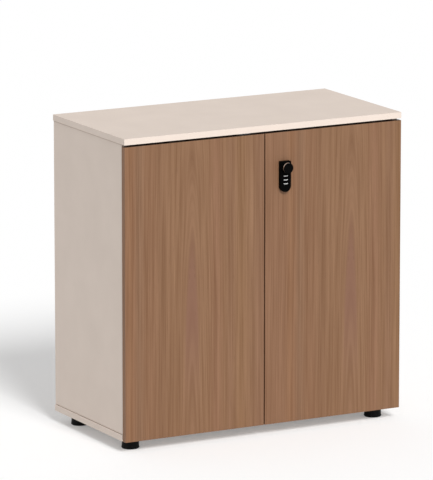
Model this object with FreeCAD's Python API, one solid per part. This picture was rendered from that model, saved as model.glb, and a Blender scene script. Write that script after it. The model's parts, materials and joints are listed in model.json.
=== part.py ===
import FreeCAD, Part
import os

os.makedirs("parts", exist_ok=True)
V = FreeCAD.Vector
X_AXIS = V(1, 0, 0)
Y_AXIS = V(0, 1, 0)
Z_AXIS = V(0, 0, 1)
LEFT = -1
RIGHT = 1

# Two-door storage cabinet: +Z up, doors face -Y, origin under the middle of the whole object.
# All sizes are in millimetres.

# Carcass boards
WIDTH = 800.0
DEPTH = 396.0              # door fronts to the rear edges of the boards
BODY_HEIGHT = 778.0        # underside of the bottom board to the top surface
BOARD = 16.0
EDGE_RADIUS = 0.8
SIDE_INSET = 2.0           # side boards, from the ends of the top and bottom boards
SEAM_HEIGHT = 1.5          # shadow groove where a side board stands on the bottom board
SEAM_DEPTH = 2.5
BACK_BOARD = 8.0
BACK_INSET = 12.0          # back board's rear face, from the boards' rear edges
GROOVE_DEPTH = 6.0
GROOVE_CLEARANCE = 0.2

# Fits that every piece shares
OVERRUN = 1.0              # how far a cutter passes the face that it cuts
SEAT_CLEARANCE = 0.1       # round a piece that sits still in its hole
RUNNING_CLEARANCE = 0.05   # round a piece that turns or slides
FREE_GAP = 0.3             # between moving pieces that pass each other

# Doors
DOOR_BOARD = 16.0
DOOR_GAP = 3.0             # door backs to the carcass front
DOOR_TOP_GAP = 5.0
DOOR_MIDDLE_GAP = 3.0
DOOR_SIDE_REVEAL = 0.5     # door edges, from the ends of the top board
BUMPER_RADIUS = 4.5
BUMPER_ROUND = 1.5
BUMPER_INSET = 40.0        # inner pair, from the cabinet's middle
BUMPER_SPACING = 260.0     # inner to outer bumper of one door

# Shelf and its supports
SHELF_BOARD = 16.0
SHELF_SIDE_CLEARANCE = 1.0
SHELF_SETBACK = 30.0
SHELF_BACK_GAP = 2.0
PIN_RADIUS = 2.4
PIN_LENGTH = 10.0
PIN_HOLE_DEPTH = 11.0
PIN_ROW_PITCH = 32.0
PIN_ROW_COUNT = 5
PIN_INSET = 64.0           # pin rows, from the shelf's front and back edges
SHOE_LENGTH = 9.0
SHOE_WIDTH = 10.0
SHOE_THICKNESS = 3.0
SHOE_ROUND = 1.2

# Cam fittings and dowels at the board joints
CAM_RADIUS = 7.5
CAM_DEPTH = 12.5
CAM_SETBACK = 34.0         # cam centre, from the end of the side board
CAM_INSET = 80.0           # from the side board's front and rear edges
CAM_SLOT_WIDTH = 1.6
CAM_SLOT_LENGTH = 9.0
CAM_SLOT_DEPTH = 2.0
CAM_THROAT_RADIUS = 3.8
BOLT_THREAD_RADIUS = 4.0
BOLT_THREAD_LENGTH = 11.0
BOLT_SHANK_RADIUS = 3.0
DOWEL_RADIUS = 4.0
DOWEL_LENGTH = 30.0
DOWEL_IN_FACE = 12.0       # length in the top or bottom board
DOWEL_OFFSET = 32.0        # from the cam beside it

# Levelling feet
FOOT_HEIGHT = 30.0
FOOT_RADIUS = 23.0
FOOT_GAP = 2.0             # pad to bottom board
FOOT_ROUND = 2.0
FOOT_WAIST = 1.2           # how far the sides draw in at half height
FOOT_SIDE_INSET = 45.0
FOOT_FRONT_INSET = 41.0    # from the carcass front
FOOT_BACK_INSET = 54.0
STEM_RADIUS = 4.0
STEM_IN_PAD = 18.0
STEM_IN_BOARD = 13.0
SOCKET_RADIUS = 7.0
SOCKET_FLANGE_RADIUS = 12.0
SOCKET_FLANGE = 1.5
SOCKET_DEPTH = 14.0

# Concealed cup hinges
HINGE_END_INSET = 100.0    # from the door's top and bottom edges
CUP_RADIUS = 17.5
CUP_DEPTH = 12.5
CUP_TAB = 3.0              # door edge to the cup's bore
CUP_WALL = 0.9
CUP_FLOOR = 0.8
CUP_FLANGE = 1.0
CUP_FLANGE_RIM = 1.0       # flange beyond the bore
EAR_SPACING = 48.0
EAR_OFFSET = 6.0           # ear screws, from the cup's centre towards the door's middle
EAR_RADIUS = 5.0
HINGE_PIN_RADIUS = 1.3
KNUCKLE_RADIUS = 2.2
KNUCKLE_WIDTH = 10.0
PIVOT_FROM_EDGE = 7.4      # hinge axis, from the door's edge
PIVOT_FROM_FRONT = 7.2     # hinge axis, from the door's front
ARM_THICKNESS = 2.6
ARM_WIDTH = 14.0
ARM_BEND = 2.0
ARM_REACH = 15.6           # hinge axis to the middle of the arm's straight part
ARM_LENGTH = 64.0          # straight part, from the carcass front
ARM_WIDE_FROM = 2.0        # where it widens, from the door's back
ARM_CHEEK = 1.4
PLATE_LINE = 37.0          # mounting screws, from the carcass front
PLATE_SCREW_SPACING = 32.0
PLATE_LENGTH = 48.0
PLATE_WIDTH = 13.0
PLATE_THICKNESS = 2.0
RIB_WIDTH = 10.0
RIB_LENGTH = 40.0
ARM_SCREW_SPACING = 22.0

# Screws: head radius, head height, shank radius, shank length
PLATE_SCREW = (4.0, 1.8, 2.5, 11.0)
ARM_SCREW = (3.6, 2.0, 2.0, 4.0)
CUP_SCREW = (3.6, 1.4, 1.8, 10.0)
STRIKE_SCREW = (3.2, 1.2, 1.5, 10.0)
CASE_SCREW = (2.8, 1.2, 1.4, 10.0)
KEEPER_SCREW = (2.6, 1.0, 1.3, 10.0)
LOCK_SCREW = (3.4, 1.5, 1.9, 10.0)
CAM_SCREW = (4.6, 2.4, 2.2, 8.0)
SCREW_EDGE_SHARE = 0.3     # rounding of a screw head, as a share of its height
ALONG_SHARE = 0.9          # an edge runs along an axis where this much of its direction does

# Combination lock on the right door
LOCK_X = 55.5
LOCK_DROP = 74.2           # plate's top edge, below the door's top edge
LOCK_WIDTH = 31.0
LOCK_HEIGHT = 79.5
LOCK_PLATE = 10.0
LOCK_CORNER = 2.5
LOCK_EDGE = 1.2
LOCK_BOSS_WIDTH = 24.0
LOCK_BOSS_HEIGHT = 66.0
LOCK_BOSS_DEPTH = 15.0
LOCK_SCREW_DROPS = (26.5, 67.0)   # below the plate's top edge
BACK_PLATE = 2.5
BACK_PLATE_MARGIN = 5.0
KNOB_DROP = 16.0           # knob axis, below the plate's top edge
KNOB_RADIUS = 13.6
KNOB_HEIGHT = 14.7
KNOB_EDGE = 1.0
KNOB_SKIRT = 2.0           # height of the wider skirt next to the plate
KNOB_SKIRT_RIM = 0.6
KNOB_DISH = 0.6
KNOB_FACE_RIM = 2.0
KNOB_MARK_WIDTH = 1.6
KNOB_MARK_LENGTH = 6.0
SPINDLE_RADIUS = 4.0
SPINDLE_SQUARE = 5.4
DIAL_RADIUS = 9.0
DIAL_HEIGHT = 4.0
DIAL_PITCH = 10.0
DIAL_COUNT = 3
DIAL_FIRST_DROP = 37.8     # first dial, below the plate's top edge
DIAL_PROUD = 2.0
DIAL_POCKET_RIM = 0.5
DIAL_GROOVES = 10
DIAL_GROOVE_RADIUS = 0.7
AXLE_RADIUS = 1.5
AXLE_SPARE = 5.0           # axle beyond the outer dials
CAM_LENGTH = 69.0          # lock axis to the turning cam's tip
CAM_WIDTH = 16.0
CAM_HUB_RADIUS = 10.0
CAM_THICKNESS = 2.5

# Strike and slide bolt on the left door's back
STRIKE_WIDTH = 28.0
STRIKE_HEIGHT = 40.0
STRIKE_EDGE_INSET = 4.0    # from the door's free edge
STRIKE_PLAY = 0.5          # between the strike and the turned cam
STRIKE_LEAD = 1.2          # sloped edge that guides the cam
BOLT_INSET = 48.0          # rod axis, from the door's free edge
BOLT_CASE_WIDTH = 26.0
BOLT_CASE_HEIGHT = 56.0
BOLT_CASE_DROP = 8.0       # case top, below the door's top edge
BOLT_BASE = 2.0
BOLT_CORNER = 3.0
GUIDE_WIDTH = 13.0
GUIDE_WALL = 1.8
ROD_RADIUS = 3.5
ROD_TIP_DROP = 4.0         # rod's tip at rest, below the door's top edge
ROD_TIP_ROUND = 1.5
ROD_TAIL = 2.0             # rod below the lower guide
STUD_RADIUS = 4.0
STUD_HEIGHT = 6.0
KEEPER_WIDTH = 34.0
KEEPER_DEPTH = 14.0
KEEPER_LIP = 6.0           # how far its lip hangs below the top board
KEEPER_THICKNESS = 1.5
KEEPER_PLAY = 0.5          # between the shot rod and its keeper
KEEPER_SCREW_SPACING = 24.0

# Places that follow from the sizes above
KNOB_REACH = LOCK_PLATE + FREE_GAP + KNOB_HEIGHT
FRONT = -(DEPTH - KNOB_REACH) / 2
BACK = FRONT + DEPTH
DOOR_BACK = FRONT + DOOR_BOARD
CARCASS_FRONT = DOOR_BACK + DOOR_GAP
UNDERSIDE = FOOT_HEIGHT
FLOOR = UNDERSIDE + BOARD
TOP = UNDERSIDE + BODY_HEIGHT
CEILING = TOP - BOARD
OUTER = WIDTH / 2
SIDE_OUTER = OUTER - SIDE_INSET
INNER = SIDE_OUTER - BOARD
DOOR_TOP = CEILING - DOOR_TOP_GAP
DOOR_EDGE = OUTER - DOOR_SIDE_REVEAL
DOOR_FREE = DOOR_MIDDLE_GAP / 2
BACK_BOARD_FRONT = BACK - BACK_INSET - BACK_BOARD
SHELF_FRONT = CARCASS_FRONT + SHELF_SETBACK
SHELF_BACK = BACK_BOARD_FRONT - SHELF_BACK_GAP
SHELF_BOTTOM = (FLOOR + CEILING - SHELF_BOARD) / 2
HINGE_HEIGHTS = (UNDERSIDE + HINGE_END_INSET, DOOR_TOP - HINGE_END_INSET)
CUP_X = DOOR_EDGE - CUP_TAB - CUP_RADIUS
PIVOT_X = DOOR_EDGE - PIVOT_FROM_EDGE
PIVOT_Y = FRONT + PIVOT_FROM_FRONT
ARM_X = PIVOT_X - ARM_REACH
PLATE_Y = CARCASS_FRONT + PLATE_LINE
CUP_SHELL = CUP_RADIUS - SEAT_CLEARANCE
PIN_FAR_SIDE = PIVOT_X - CUP_X + HINGE_PIN_RADIUS
HINGE_PIN_LENGTH = 2 * (CUP_SHELL ** 2 - PIN_FAR_SIDE ** 2) ** 0.5
LOCK_Z = DOOR_TOP - LOCK_DROP
KNOB_Z = LOCK_Z - KNOB_DROP
LOCK_FACE = FRONT - LOCK_PLATE
BOSS_CENTRE_Z = LOCK_Z - LOCK_HEIGHT / 2
BACK_PLATE_REAR = DOOR_BACK + BACK_PLATE
CAM_FRONT = BACK_PLATE_REAR + FREE_GAP
CAM_REAR = CAM_FRONT + CAM_THICKNESS
DIAL_Y = LOCK_FACE + DIAL_RADIUS - DIAL_PROUD
DIAL_HEIGHTS = [LOCK_Z - DIAL_FIRST_DROP - DIAL_PITCH * i for i in range(DIAL_COUNT)]
ROD_X = -DOOR_FREE - BOLT_INSET
KEEPER_FRONT = DOOR_BACK + FREE_GAP
ROD_Y = KEEPER_FRONT + KEEPER_THICKNESS + KEEPER_PLAY + ROD_RADIUS
GUIDE_HEIGHT = ROD_Y - DOOR_BACK + ROD_RADIUS + GUIDE_WALL
CASE_TOP = DOOR_TOP - BOLT_CASE_DROP
CASE_BOTTOM = CASE_TOP - BOLT_CASE_HEIGHT
STUD_Z = CASE_BOTTOM + GUIDE_WIDTH + STUD_RADIUS + FREE_GAP
FOOT_PLACES = {
    "front_left": V(-OUTER + FOOT_SIDE_INSET, CARCASS_FRONT + FOOT_FRONT_INSET, 0),
    "front_right": V(OUTER - FOOT_SIDE_INSET, CARCASS_FRONT + FOOT_FRONT_INSET, 0),
    "rear_left": V(-OUTER + FOOT_SIDE_INSET, BACK - FOOT_BACK_INSET, 0),
    "rear_right": V(OUTER - FOOT_SIDE_INSET, BACK - FOOT_BACK_INSET, 0),
}


def block(low, high):
    """A box between two corners."""
    size = high - low
    return Part.makeBox(size.x, size.y, size.z, low)


def rod(radius, start, end):
    """A round bar between two points."""
    return Part.makeCylinder(radius, (end - start).Length, start, end - start)


def board(low, high):
    """A panel whose banded edges are slightly rounded."""
    solid = block(low, high)
    return solid.makeFillet(EDGE_RADIUS, solid.Edges)


def revolved(points, centre, axis):
    """A turned piece: points are (radius, height) pairs of its closed half section."""
    wire = Part.makePolygon([V(r, 0, h) for r, h in points + points[:1]])
    solid = Part.Face(wire).revolve(V(0, 0, 0), Z_AXIS, 360)
    solid.Placement = FreeCAD.Placement(centre, FreeCAD.Rotation(Z_AXIS, axis))
    return solid


def runs_along(edge, axis):
    """True for an edge that starts out along an axis."""
    return abs(edge.tangentAt(edge.FirstParameter).dot(axis)) > ALONG_SHARE


def oblong(low, high, axis_start, axis_end):
    """A plate in the XZ plane with half-round ends above and below, between two Y levels."""
    radius = (high.x - low.x) / 2
    middle = low.x + radius
    levels = (low.z + radius, high.z - radius)
    ends = [rod(radius, V(middle, axis_start, z), V(middle, axis_end, z)) for z in levels]
    bar = block(V(low.x, axis_start, levels[0]), V(high.x, axis_end, levels[1]))
    return bar.fuse(ends).removeSplitter()


def rounded_plate(low, high, radius, axis):
    """A plate whose four corner edges along one axis are rounded."""
    solid = block(low, high)
    return solid.makeFillet(radius, [e for e in solid.Edges if runs_along(e, axis)])


def screw(size, seat, drive):
    """A pan-head screw: seat lies under its head, and drive points into what it holds."""
    head_radius, head_height, shank_radius, length = size
    edge = head_height * SCREW_EDGE_SHARE
    section = [
        (0, -head_height),
        (head_radius - edge, -head_height),
        (head_radius, -head_height + edge),
        (head_radius, 0),
        (shank_radius, 0),
        (shank_radius, length),
        (0, length),
    ]
    return revolved(section, seat, drive)


def screw_hole(size, seat, drive):
    """The hole that a screw's shank sits in."""
    radius = size[2] + SEAT_CLEARANCE
    return rod(radius, seat - drive * OVERRUN, seat + drive * (size[3] + OVERRUN))


def mirrored(shape):
    """The same piece on the other side of the cabinet."""
    return shape.mirror(V(0, 0, 0), X_AXIS)


def on_side(shape, side):
    """Hinge pieces are drawn on the right, and mirrored for the left door."""
    return shape if side == RIGHT else mirrored(shape)


def group(solids):
    """Several separate solids in one sub-part."""
    return Part.makeCompound(solids)


# Joints between the carcass boards

def joint_places():
    """Every cam fitting: side, whether it is the top joint, the joint's level, and its depth."""
    depths = (CARCASS_FRONT + CAM_INSET, BACK - CAM_INSET)
    return [(s, up, z, y) for s in (LEFT, RIGHT) for up, z in ((-1, CEILING), (1, FLOOR)) for y in depths]


def cam_centre(side, up, level, depth):
    return V(side * INNER, depth, level + up * CAM_SETBACK)


def bolt_line(side, level, depth):
    return V(side * (INNER + BOARD / 2), depth, level)


def dowel_line(side, level, depth):
    toward_middle = 1 if depth < (CARCASS_FRONT + BACK) / 2 else -1
    return bolt_line(side, level, depth + toward_middle * DOWEL_OFFSET)


def cam_discs():
    solids = []
    for side, up, level, depth in joint_places():
        face = cam_centre(side, up, level, depth)
        inward = X_AXIS * side
        disc = rod(CAM_RADIUS - SEAT_CLEARANCE, face, face + inward * (CAM_DEPTH - SEAT_CLEARANCE))
        throat_start = bolt_line(side, face.z, depth)
        throat = rod(CAM_THROAT_RADIUS, throat_start, throat_start - Z_AXIS * up * (CAM_RADIUS + OVERRUN))
        half = V(CAM_SLOT_DEPTH, CAM_SLOT_LENGTH / 2, CAM_SLOT_WIDTH / 2)
        slot = block(face - half, face + half)
        cross = slot.copy()
        cross.rotate(face, X_AXIS, 90)
        solids.append(disc.cut([throat, slot, cross]))
    return group(solids)


def cam_bolts():
    solids = []
    for side, up, level, depth in joint_places():
        seat = bolt_line(side, level, depth)
        section = [
            (0, -BOLT_THREAD_LENGTH),
            (BOLT_THREAD_RADIUS, -BOLT_THREAD_LENGTH),
            (BOLT_THREAD_RADIUS, 0),
            (BOLT_SHANK_RADIUS, 0),
            (BOLT_SHANK_RADIUS, CAM_SETBACK - FREE_GAP),
            (0, CAM_SETBACK - FREE_GAP),
        ]
        solids.append(revolved(section, seat, Z_AXIS * up))
    return group(solids)


def alignment_dowels():
    solids = []
    for side, up, level, depth in joint_places():
        middle = dowel_line(side, level, depth)
        start = middle - Z_AXIS * up * DOWEL_IN_FACE
        solids.append(rod(DOWEL_RADIUS, start, start + Z_AXIS * up * DOWEL_LENGTH))
    return group(solids)


def joint_bores(wanted_side=None, wanted_level=None):
    """Bores for the cams, bolts and dowels of one side board, or of the top or bottom board."""
    cutters = []
    for side, up, level, depth in joint_places():
        bolt = bolt_line(side, level, depth)
        dowel = dowel_line(side, level, depth)
        along = Z_AXIS * up
        if side == wanted_side:
            face = cam_centre(side, up, level, depth)
            outward = X_AXIS * side
            cutters.append(rod(CAM_RADIUS, face - outward * OVERRUN, face + outward * CAM_DEPTH))
            cutters.append(rod(BOLT_THREAD_RADIUS, bolt - along * OVERRUN, bolt + along * CAM_SETBACK))
            dowel_end = dowel + along * (DOWEL_LENGTH - DOWEL_IN_FACE + SEAT_CLEARANCE)
            cutters.append(rod(DOWEL_RADIUS + SEAT_CLEARANCE, dowel - along * OVERRUN, dowel_end))
        if level == wanted_level:
            thread_end = bolt - along * (BOLT_THREAD_LENGTH + SEAT_CLEARANCE)
            cutters.append(rod(BOLT_THREAD_RADIUS + SEAT_CLEARANCE, bolt + along * OVERRUN, thread_end))
            dowel_end = dowel - along * (DOWEL_IN_FACE + SEAT_CLEARANCE)
            cutters.append(rod(DOWEL_RADIUS + SEAT_CLEARANCE, dowel + along * OVERRUN, dowel_end))
    return cutters


# Carcass boards

def back_groove():
    """The space that the back board and its clearance take up in the boards round it."""
    spread = GROOVE_DEPTH + GROOVE_CLEARANCE
    low = V(-INNER - spread, BACK_BOARD_FRONT - GROOVE_CLEARANCE, FLOOR - spread)
    high = V(INNER + spread, BACK_BOARD_FRONT + BACK_BOARD + GROOVE_CLEARANCE, CEILING + spread)
    return block(low, high)


def back_panel():
    low = V(-INNER - GROOVE_DEPTH, BACK_BOARD_FRONT, FLOOR - GROOVE_DEPTH)
    high = V(INNER + GROOVE_DEPTH, BACK_BOARD_FRONT + BACK_BOARD, CEILING + GROOVE_DEPTH)
    return block(low, high)


def top_panel():
    solid = board(V(-OUTER, FRONT, CEILING), V(OUTER, BACK, TOP))
    cutters = joint_bores(wanted_level=CEILING) + [back_groove()]
    cutters += [screw_hole(KEEPER_SCREW, place, Z_AXIS) for place in keeper_screw_places()]
    return solid.cut(cutters)


def bottom_panel():
    solid = board(V(-OUTER, CARCASS_FRONT, UNDERSIDE), V(OUTER, BACK, FLOOR))
    cutters = joint_bores(wanted_level=FLOOR) + [back_groove()]
    for place in FOOT_PLACES.values():
        seat = place + Z_AXIS * UNDERSIDE
        bore_end = seat + Z_AXIS * (SOCKET_DEPTH + SEAT_CLEARANCE)
        cutters.append(rod(SOCKET_RADIUS + SEAT_CLEARANCE, seat - Z_AXIS * OVERRUN, bore_end))
    return solid.cut(cutters)


def pin_rows():
    """The two columns of shelf pin holes in a side board, as depths."""
    return (SHELF_FRONT + PIN_INSET, SHELF_BACK - PIN_INSET)


def pin_level():
    return SHELF_BOTTOM - SHOE_THICKNESS / 2


def side_blank():
    """The right side board, stepped along its outer lower edge, which leaves the shadow groove."""
    step, lip = SIDE_OUTER - SEAM_DEPTH, FLOOR + SEAM_HEIGHT
    corners = [(INNER, CEILING), (INNER, FLOOR), (step, FLOOR)]
    corners += [(step, lip), (SIDE_OUTER, lip), (SIDE_OUTER, CEILING)]
    outline = Part.makePolygon([V(x, CARCASS_FRONT, z) for x, z in corners + corners[:1]])
    solid = Part.Face(outline).extrude(Y_AXIS * (BACK - CARCASS_FRONT))
    banded = [e for e in solid.Edges if abs(e.CenterOfMass.x - SIDE_OUTER) < SEAT_CLEARANCE]
    upright = [e for e in solid.Edges if runs_along(e, Z_AXIS)]
    banded += [e for e in upright if abs(e.CenterOfMass.x - INNER) < SEAT_CLEARANCE]
    return solid.makeFillet(EDGE_RADIUS, banded)


def side_panel(side):
    inner = side * INNER
    outward = X_AXIS * side
    cutters = joint_bores(wanted_side=side) + [back_groove()]
    for depth in pin_rows():
        for step in range(PIN_ROW_COUNT):
            level = pin_level() + PIN_ROW_PITCH * (step - (PIN_ROW_COUNT - 1) / 2)
            mouth = V(inner, depth, level)
            hole_end = mouth + outward * PIN_HOLE_DEPTH
            cutters.append(rod(PIN_RADIUS + SEAT_CLEARANCE, mouth - outward * OVERRUN, hole_end))
    for seat in plate_screw_places():
        cutters.append(on_side(screw_hole(PLATE_SCREW, seat, X_AXIS), side))
    return on_side(side_blank(), side).cut(cutters)


def shelf():
    half = INNER - SHELF_SIDE_CLEARANCE
    return board(V(-half, SHELF_FRONT, SHELF_BOTTOM), V(half, SHELF_BACK, SHELF_BOTTOM + SHELF_BOARD))


def shelf_pins():
    """Pegs in the side boards, each with a flat shoe that the shelf rests on."""
    solids = []
    for depth in pin_rows():
        face = V(INNER, depth, pin_level())
        low = V(INNER - SHOE_LENGTH, depth - SHOE_WIDTH / 2, SHELF_BOTTOM - SHOE_THICKNESS)
        high = V(INNER, depth + SHOE_WIDTH / 2, SHELF_BOTTOM)
        shoe = rounded_plate(low, high, SHOE_ROUND, Z_AXIS)
        peg = rod(PIN_RADIUS, face, face + X_AXIS * PIN_LENGTH)
        support = shoe.fuse(peg)
        solids += [support, mirrored(support)]
    return group(solids)


def door_bumpers():
    """Soft buttons on the bottom board's front edge that the doors close against."""
    height = DOOR_GAP - FREE_GAP
    section = [
        (0, 0),
        (BUMPER_RADIUS, 0),
        (BUMPER_RADIUS, height - BUMPER_ROUND),
        (BUMPER_RADIUS - BUMPER_ROUND, height),
        (0, height),
    ]
    near = V(BUMPER_INSET, CARCASS_FRONT, UNDERSIDE + BOARD / 2)
    far = near + X_AXIS * BUMPER_SPACING
    pair = [revolved(section, place, -Y_AXIS) for place in (near, far)]
    return group(pair + [mirrored(s) for s in pair])


# Levelling feet

def foot_sockets():
    solids = []
    for place in FOOT_PLACES.values():
        seat = place + Z_AXIS * UNDERSIDE
        section = [
            (STEM_RADIUS + RUNNING_CLEARANCE, -SOCKET_FLANGE),
            (SOCKET_FLANGE_RADIUS, -SOCKET_FLANGE),
            (SOCKET_FLANGE_RADIUS, 0),
            (SOCKET_RADIUS, 0),
            (SOCKET_RADIUS, SOCKET_DEPTH),
            (STEM_RADIUS + RUNNING_CLEARANCE, SOCKET_DEPTH),
        ]
        solids.append(revolved(section, seat, Z_AXIS))
    return group(solids)


def foot_pad(place):
    """A moulded round pad, slightly waisted, with a hole for its stem."""
    height = FOOT_HEIGHT - FOOT_GAP
    waist = FOOT_RADIUS - FOOT_WAIST
    sole = FOOT_RADIUS - FOOT_ROUND
    rim = height - FOOT_ROUND
    floor = height - STEM_IN_PAD
    outline = [
        Part.LineSegment(V(0, 0, 0), V(sole, 0, 0)).toShape(),
        Part.LineSegment(V(sole, 0, 0), V(FOOT_RADIUS, 0, FOOT_ROUND)).toShape(),
        Part.Arc(V(FOOT_RADIUS, 0, FOOT_ROUND), V(waist, 0, height / 2), V(FOOT_RADIUS, 0, rim)).toShape(),
        Part.LineSegment(V(FOOT_RADIUS, 0, rim), V(sole, 0, height)).toShape(),
        Part.LineSegment(V(sole, 0, height), V(STEM_RADIUS, 0, height)).toShape(),
        Part.LineSegment(V(STEM_RADIUS, 0, height), V(STEM_RADIUS, 0, floor)).toShape(),
        Part.LineSegment(V(STEM_RADIUS, 0, floor), V(0, 0, floor)).toShape(),
        Part.LineSegment(V(0, 0, floor), V(0, 0, 0)).toShape(),
    ]
    solid = Part.Face(Part.Wire(outline)).revolve(V(0, 0, 0), Z_AXIS, 360)
    solid.translate(place)
    return solid


def foot_stem(place):
    start = FOOT_HEIGHT - FOOT_GAP - STEM_IN_PAD
    return rod(STEM_RADIUS, place + Z_AXIS * start, place + Z_AXIS * (UNDERSIDE + STEM_IN_BOARD))


# Hinges, drawn on the right side

def plate_screw_places():
    half = Z_AXIS * (PLATE_SCREW_SPACING / 2)
    centres = [V(INNER - PLATE_THICKNESS, PLATE_Y, z) for z in HINGE_HEIGHTS]
    return [c + half for c in centres] + [c - half for c in centres]


def arm_screw_places():
    half = Y_AXIS * (ARM_SCREW_SPACING / 2)
    centres = [V(ARM_X - ARM_THICKNESS / 2, PLATE_Y, z) for z in HINGE_HEIGHTS]
    return [c + half for c in centres] + [c - half for c in centres]


def ear_screw_places():
    half = Z_AXIS * (EAR_SPACING / 2)
    centres = [V(CUP_X - EAR_OFFSET, DOOR_BACK + CUP_FLANGE, z) for z in HINGE_HEIGHTS]
    return [c + half for c in centres] + [c - half for c in centres]


def hinge_plate(height):
    """A mounting plate: two wings on the side board and a rib that carries the arm."""
    low = V(INNER - PLATE_THICKNESS, PLATE_Y - PLATE_WIDTH / 2, height - PLATE_LENGTH / 2)
    high = V(INNER, PLATE_Y + PLATE_WIDTH / 2, height + PLATE_LENGTH / 2)
    wings = rounded_plate(low, high, PLATE_WIDTH / 2 - SEAT_CLEARANCE, X_AXIS)
    rib_low = V(ARM_X + ARM_THICKNESS / 2, PLATE_Y - RIB_LENGTH / 2, height - RIB_WIDTH / 2)
    rib_high = V(INNER, PLATE_Y + RIB_LENGTH / 2, height + RIB_WIDTH / 2)
    return wings.fuse(rounded_plate(rib_low, rib_high, RIB_WIDTH / 4, X_AXIS)).removeSplitter()


def hinge_plates(side):
    holes = [screw_hole(PLATE_SCREW, seat, X_AXIS) for seat in plate_screw_places()]
    holes += [screw_hole(ARM_SCREW, seat, X_AXIS) for seat in arm_screw_places()]
    return group([on_side(hinge_plate(z).cut(holes), side) for z in HINGE_HEIGHTS])


def arm_strip(width, height):
    """The bent strip from the hinge pin, round its elbow and back along the side board."""
    half = ARM_THICKNESS / 2
    inner, outer = ARM_BEND, ARM_BEND + ARM_THICKNESS
    near, far = ARM_X + half, ARM_X - half
    end = CARCASS_FRONT + ARM_LENGTH
    upper, lower = PIVOT_Y + half, PIVOT_Y - half
    swing = 0.5 ** 0.5
    inner_mid = V(near + inner * (1 - swing), upper + inner * (1 - swing), 0)
    outer_mid = V(far + outer * (1 - swing), lower + outer * (1 - swing), 0)
    edges = [
        Part.LineSegment(V(PIVOT_X, upper, 0), V(near + inner, upper, 0)).toShape(),
        Part.Arc(V(near + inner, upper, 0), inner_mid, V(near, upper + inner, 0)).toShape(),
        Part.LineSegment(V(near, upper + inner, 0), V(near, end, 0)).toShape(),
        Part.LineSegment(V(near, end, 0), V(far, end, 0)).toShape(),
        Part.LineSegment(V(far, end, 0), V(far, lower + outer, 0)).toShape(),
        Part.Arc(V(far, lower + outer, 0), outer_mid, V(far + outer, lower, 0)).toShape(),
        Part.LineSegment(V(far + outer, lower, 0), V(PIVOT_X, lower, 0)).toShape(),
        Part.LineSegment(V(PIVOT_X, lower, 0), V(PIVOT_X, upper, 0)).toShape(),
    ]
    strip = Part.Face(Part.Wire(edges)).extrude(Z_AXIS * width)
    strip.translate(Z_AXIS * (height - width / 2))
    return strip


def hinge_arm(height):
    """A cranked arm: a knuckle on the pin, an elbow in the cup and a channel over the plate's rib."""
    pivot = V(PIVOT_X, PIVOT_Y, height)
    half_knuckle = Z_AXIS * (KNUCKLE_WIDTH / 2)
    knuckle = rod(KNUCKLE_RADIUS, pivot - half_knuckle, pivot + half_knuckle)
    half = ARM_THICKNESS / 2
    start = DOOR_BACK + ARM_WIDE_FROM
    end = CARCASS_FRONT + ARM_LENGTH
    low = V(ARM_X - half, start, height - ARM_WIDTH / 2)
    high = V(ARM_X + half, end, height + ARM_WIDTH / 2)
    channel = rounded_plate(low, high, ARM_WIDTH / 4, X_AXIS)
    cheeks = []
    for low_z in (height - ARM_WIDTH / 2, height + ARM_WIDTH / 2 - ARM_CHEEK):
        cheek_low = V(ARM_X, start + ARM_WIDTH / 4, low_z)
        cheek_high = V(INNER - PLATE_THICKNESS - SEAT_CLEARANCE, end - ARM_WIDTH / 4, low_z + ARM_CHEEK)
        cheeks.append(block(cheek_low, cheek_high))
    solid = arm_strip(KNUCKLE_WIDTH, height).fuse([knuckle, channel] + cheeks).removeSplitter()
    bore = rod(HINGE_PIN_RADIUS + RUNNING_CLEARANCE, pivot - half_knuckle * 2, pivot + half_knuckle * 2)
    return solid.cut(bore)


def hinge_arms(side):
    holes = [screw_hole(ARM_SCREW, seat, X_AXIS) for seat in arm_screw_places()]
    return group([on_side(hinge_arm(z).cut(holes), side) for z in HINGE_HEIGHTS])


def cup_axis(height, depth):
    return V(CUP_X, DOOR_BACK - depth, height)


def cup_bore(height):
    return rod(CUP_RADIUS, cup_axis(height, CUP_DEPTH), cup_axis(height, -OVERRUN))


def hinge_pin(height, clearance=0):
    half = Z_AXIS * (HINGE_PIN_LENGTH / 2)
    pivot = V(PIVOT_X, PIVOT_Y, height)
    return rod(HINGE_PIN_RADIUS + clearance, pivot - half, pivot + half)


def hinge_cup(height):
    """A pressed cup with a flat flange and two screw ears, sunk into the door's back."""
    bottom = CUP_DEPTH - SEAT_CLEARANCE
    wall = rod(CUP_SHELL, cup_axis(height, bottom), cup_axis(height, 0))
    flange = rod(CUP_RADIUS + CUP_FLANGE_RIM, cup_axis(height, 0), cup_axis(height, -CUP_FLANGE))
    ear_x = CUP_X - EAR_OFFSET
    reach = EAR_SPACING / 2 + EAR_RADIUS
    low = V(ear_x - EAR_RADIUS, 0, height - reach)
    high = V(ear_x + EAR_RADIUS, 0, height + reach)
    ears = oblong(low, high, DOOR_BACK, DOOR_BACK + CUP_FLANGE)
    mouth = cup_axis(height, -CUP_FLANGE - OVERRUN)
    hollow = rod(CUP_SHELL - CUP_WALL, cup_axis(height, bottom - CUP_FLOOR), mouth)
    return wall.fuse([flange, ears]).removeSplitter().cut([hollow, hinge_pin(height)])


def hinge_cups(side):
    holes = [screw_hole(CUP_SCREW, seat, -Y_AXIS) for seat in ear_screw_places()]
    return group([on_side(hinge_cup(z).cut(holes), side) for z in HINGE_HEIGHTS])


def hinge_pins(side):
    return group([on_side(hinge_pin(z), side) for z in HINGE_HEIGHTS])


def cup_screws(side):
    return group([on_side(screw(CUP_SCREW, seat, -Y_AXIS), side) for seat in ear_screw_places()])


def hinge_plate_screws():
    solids = [screw(PLATE_SCREW, seat, X_AXIS) for seat in plate_screw_places()]
    return group(solids + [mirrored(s) for s in solids])


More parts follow.
